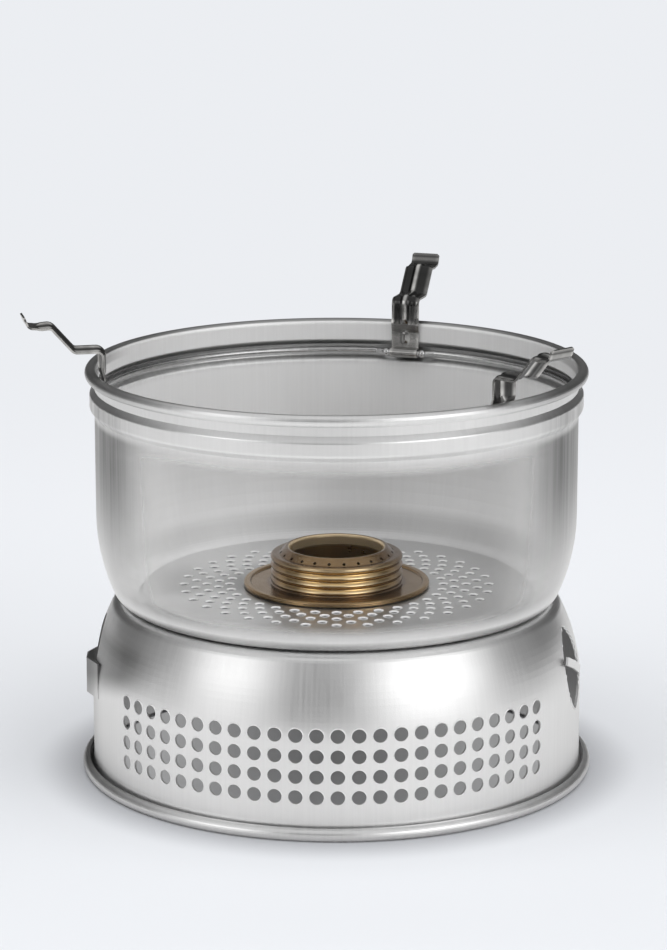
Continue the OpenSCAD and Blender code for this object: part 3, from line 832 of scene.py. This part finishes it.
def pot_support(side, material):
    """Pressed strip of a pot support, which stands for the plain strip of the CAD."""
    turn, upper_shade, crest_highlight_width = SUPPORTS[side]
    path, rolled = support_path()
    total = sum((b - a).length for a, b in zip(path, path[1:]))
    verts, tones, run, last = [], [], 0.0, path[0]
    for i, (q, along) in enumerate(zip(path, directions(path))):
        run += (q - last).length
        last, to_end = q, total - run
        normal = Vector((-along.y, along.x))
        free = i > rolled
        press = free * rise(q.y, *PRESSED_Z) * rise(to_end, *PRESSED_TO_TIP)
        # Painted shade on the upper part of the strip
        dark = free * upper_shade * rise(q.y, *UPPER_PAINTED_SHADE_Z)
        dimple = free * hump(q.y, *DIMPLE_Z)
        half = STRIP_W / 2 - STRIP_CORNER * (1 - rise(to_end, 0.0, STRIP_CORNER_LEN)) ** 2
        there = [half * (2 * k / STRIP_COUNT - 1) for k in range(STRIP_COUNT + 1)]
        ring = [(across, STRIP_T / 2) for across in there]
        ring += [(across, -STRIP_T / 2) for across in reversed(there)]
        for across, face in ring:
            place = q + normal * (face + strip_height(across, press, dimple))
            verts.append((place.x * MM, across * MM, place.y * MM))
            # The tone holds the strip's painted light and shade
            tones.append(strip_light_and_shade(across, run, to_end, press, dark, crest_highlight_width))
    ring_len = len(ring)
    faces = tube_faces(range(len(path)), ring_len)
    faces += [tuple(range(ring_len)), tuple(reversed(range(len(verts) - ring_len, len(verts))))]
    t = radians(SUPPORT_ANGLE + turn)
    verts = [(x * cos(t) - y * sin(t), x * sin(t) + y * cos(t), z) for x, y, z in verts]
    mesh = new_mesh("strip_" + side, verts, faces, tones)
    mesh.set_sharp_from_angle(angle=radians(STRIP_SHARP))
    strip = new_piece("strip_" + side, mesh, material)
    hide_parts("pot_support_" + side)
    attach(strip, "support_" + side)


def pot_supports():
    polished = polished_steel("polished_strip")
    for side in SUPPORTS:
        pot_support(side, polished)


def make_floor():
    """Matt floor that turns into the plain background further out."""
    bpy.ops.mesh.primitive_circle_add(vertices=FLOOR_SIDES, radius=FLOOR_R, fill_type="NGON")
    floor = bpy.context.object
    floor.name = "floor"
    material, n = new_material("floor")
    place = n.place()
    away = n.add("ShaderNodeVectorMath", {0: place}, operation="LENGTH").outputs["Value"]
    seen = n.add("ShaderNodeLightPath").outputs["Is Camera Ray"]
    tint = n.mix(seen, opaque(FLOOR_TONE), opaque(BACKGROUND))
    tint = n.mix(n.fade(away, *SHADOW_SPAN), tint, opaque(SHADOW_TONE))
    matt = n.add("ShaderNodeBsdfDiffuse", {"Color": tint}).outputs[0]
    across = n.math("ABSOLUTE", n.split(place)[0])
    inside = n.product(n.fade(away, *GLOW_SPAN), n.fade(across, *GLOW_ACROSS))
    shine = n.add("ShaderNodeEmission", {"Color": opaque((1, 1, 1)), "Strength": inside}).outputs[0]
    matt = n.add("ShaderNodeAddShader", {0: matt, 1: shine}).outputs[0]
    glow = n.add("ShaderNodeEmission", {"Color": opaque(BACKGROUND), "Strength": 1.0}).outputs[0]
    share = n.product(n.fade(away, *FLOOR_TO_BACKGROUND), seen)
    n.surface(n.add("ShaderNodeMixShader", {0: share, 1: matt, 2: glow}).outputs[0])
    paint(floor, material)


def make_studio():
    """World with wide soft boxes to the left and right, a paler ceiling and dark walls."""
    world = bpy.data.worlds.new("studio")
    scene.world = world
    n = Nodes(world)
    x, y, z = n.split(n.add("ShaderNodeTexCoord").outputs["Generated"])
    to_right = n.math("DEGREES", n.math("ARCTAN2", x, n.product(y, -1)))
    boxes = 0.0
    for side, come, go, level in SOFT_BOXES:
        off = n.product(to_right, side)
        box = n.product(n.fade(off, *come, 0.0, level), n.fade(off, *go, 1.0, 0.0))
        boxes = n.math("ADD", box, boxes)
    boxes = n.product(boxes, n.fade(z, *BOX_RISE), n.fade(z, *BOX_TOP))
    walls = n.fade(n.math("ABSOLUTE", to_right), *BACK_FROM, FRONT_LEVEL, BACK_LEVEL)
    top = n.fade(z, *CEILING_FROM)
    room = n.without(n.math("ADD", walls, boxes), top)
    level = n.math("ADD", room, n.product(top, CEILING_LEVEL))
    seen = n.add("ShaderNodeLightPath").outputs["Is Camera Ray"]
    colour = n.mix(seen, n.grey(level), opaque(BACKGROUND))
    sky = n.add("ShaderNodeBackground", {"Color": colour, "Strength": 1.0}).outputs[0]
    n.add("ShaderNodeOutputWorld", {"Surface": sky})


def make_overhead():
    data = bpy.data.lights.new("overhead", "AREA")
    data.shape = "SQUARE"
    data.size = OVERHEAD_SIZE
    data.energy = OVERHEAD_POWER
    overhead = bpy.data.objects.new("overhead", data)
    overhead.location = OVERHEAD_PLACE
    overhead.visible_glossy = False
    scene.collection.objects.link(overhead)


make_camera()
paint_nodes()
pot_supports()
lower_edges()
make_floor()
make_studio()
make_overhead()
